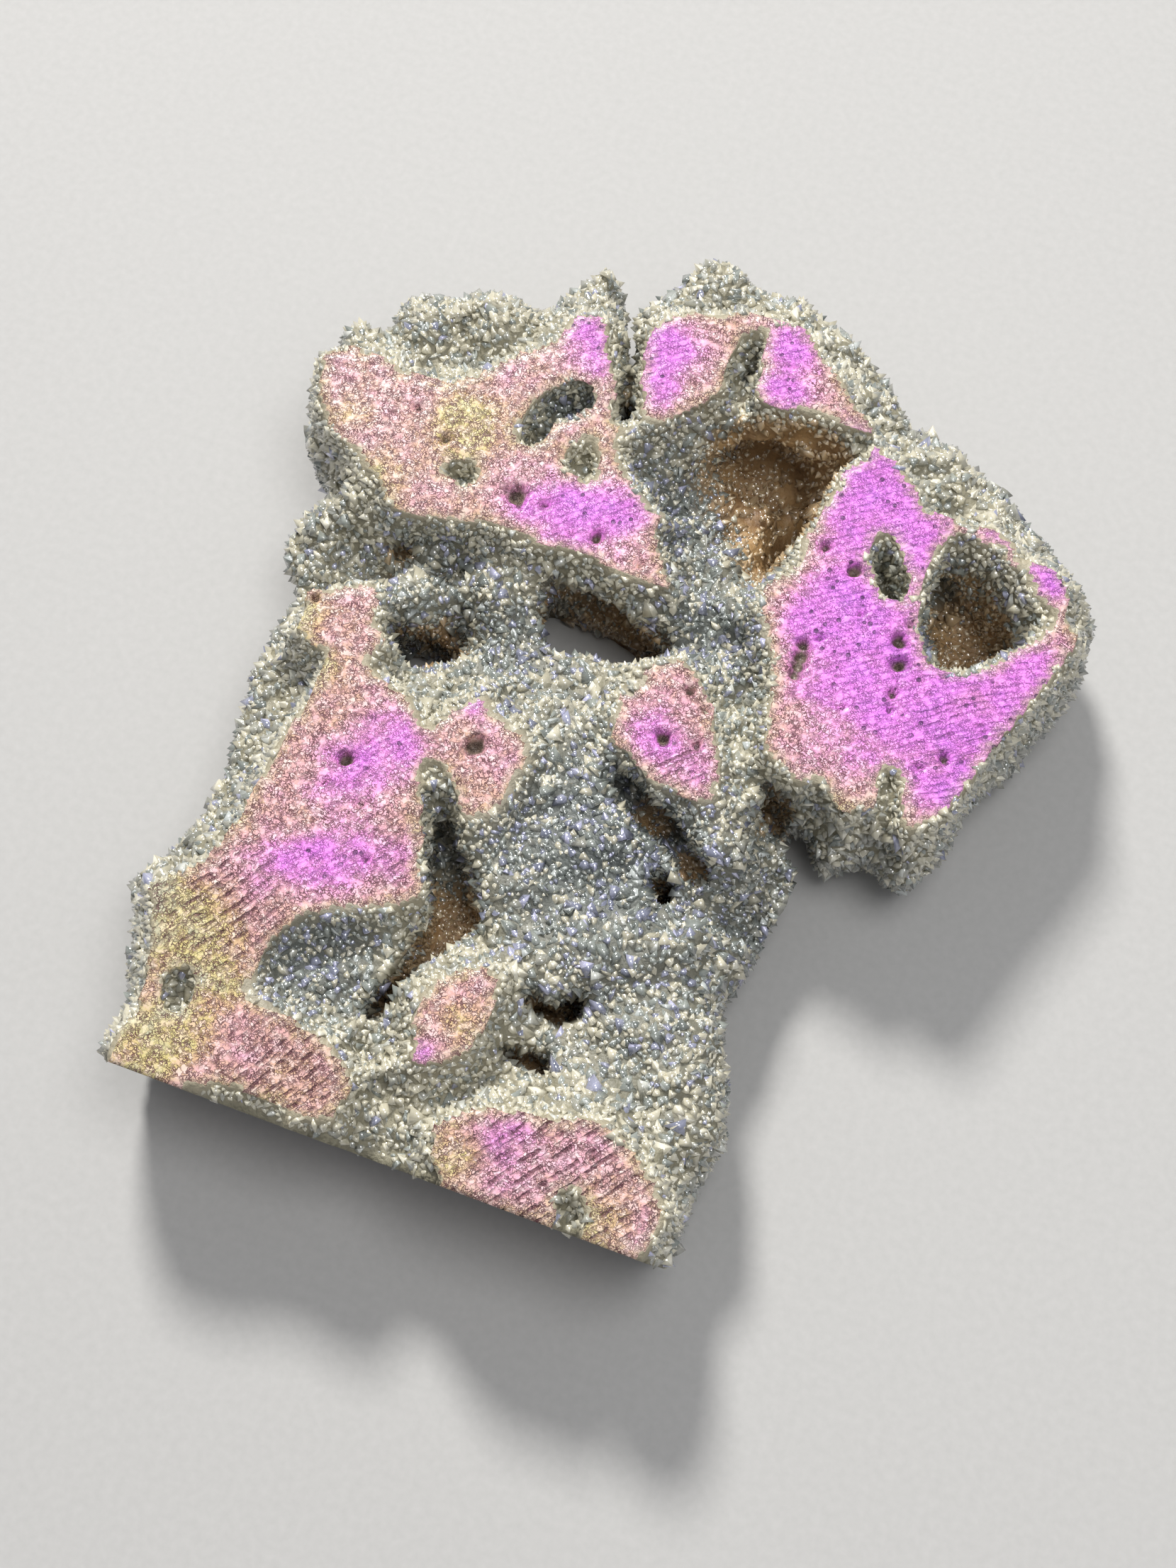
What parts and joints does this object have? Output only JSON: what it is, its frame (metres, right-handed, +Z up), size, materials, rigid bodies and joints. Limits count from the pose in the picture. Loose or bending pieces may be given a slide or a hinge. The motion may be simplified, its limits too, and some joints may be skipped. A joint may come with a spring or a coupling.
{
  "type": "sphalerite slab",
  "caption": "Sawn slab of crystal-lined stone with flat iridescent islands, druse valleys, open cavities and bulging natural sides.",
  "frame": {"origin": "centre of the bounding box's bottom face, on the plane of the sawn underside", "axes": "+Z up out of the sawn top; +Y along the length, from the sawn end to the lobed end; +X towards the large plateau with the open cavity"},
  "size_m": [0.1122, 0.1342, 0.024],
  "materials": {
    "stone": "crystalline, satin where sawn"
  },
  "bodies": {
    "root": {"slab": "stone"}
  },
  "joints": []
}
